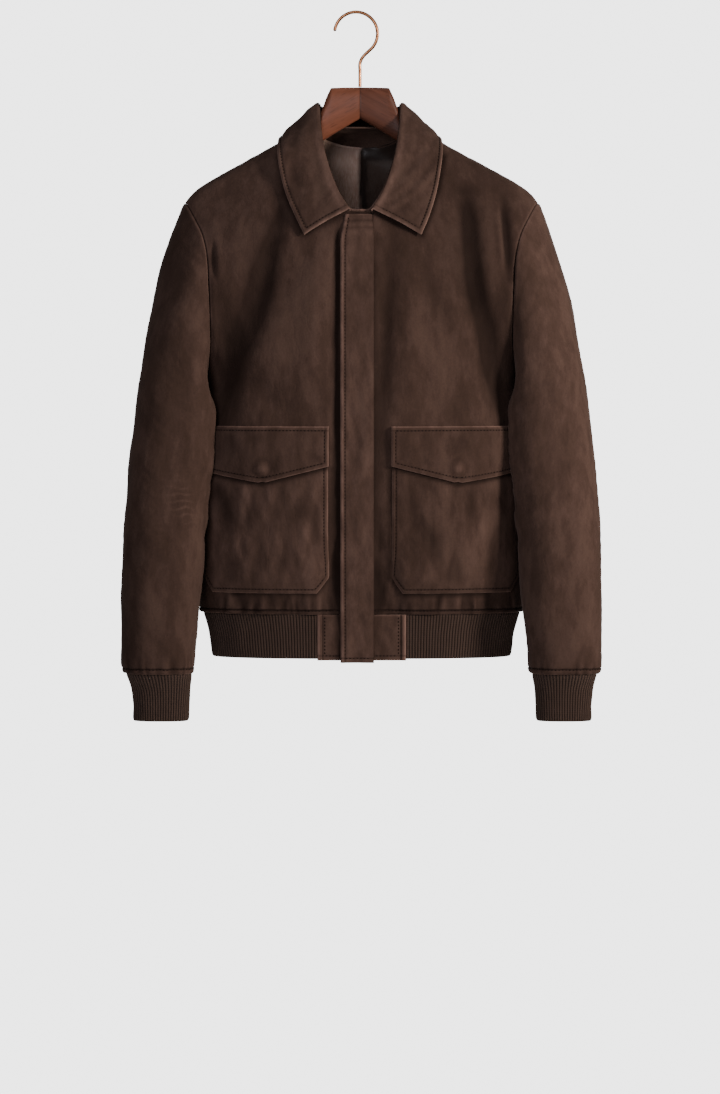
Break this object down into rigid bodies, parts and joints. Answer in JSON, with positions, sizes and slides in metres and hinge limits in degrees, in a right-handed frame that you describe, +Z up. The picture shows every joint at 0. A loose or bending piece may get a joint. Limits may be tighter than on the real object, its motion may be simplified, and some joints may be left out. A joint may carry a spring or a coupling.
{
  "type": "suede jacket on a wooden hanger",
  "caption": "Suede blouson with a turned down collar, patch pockets and rib knit hem and cuffs, hanging closed on a wooden hanger with a wire hook.",
  "frame": {"origin": "the inside of the hook, at the top, straight above the hook's stem", "axes": "+Z up, +Y to the jacket's back, +X to the wearer's left"},
  "size_m": [0.623, 0.2091, 0.9213],
  "materials": {
    "suede": "napped, matt, dark brown",
    "rib_knit": "rib knit, matt",
    "satin_lining": "satin, soft sheen",
    "stained_wood": "stained and lacquered",
    "copper_wire": "polished wire"
  },
  "bodies": {
    "root": {"front_right": "suede", "front_left": "suede", "back": "suede", "placket": "suede", "sleeve_right": "suede", "sleeve_left": "suede", "hem_tab_right": "suede", "hem_tab_left": "suede", "pocket_right": "suede", "pocket_left": "suede", "flap_right": "suede", "flap_left": "suede", "collar_stand": "suede", "collar_fall": "suede", "hanging_loop": "suede", "cuff_rib_right": "rib_knit", "cuff_rib_left": "rib_knit", "hem_rib": "rib_knit", "back_lining": "satin_lining", "hanger_arm_right": "stained_wood", "hanger_arm_left": "stained_wood", "hook": "copper_wire"}
  },
  "joints": []
}
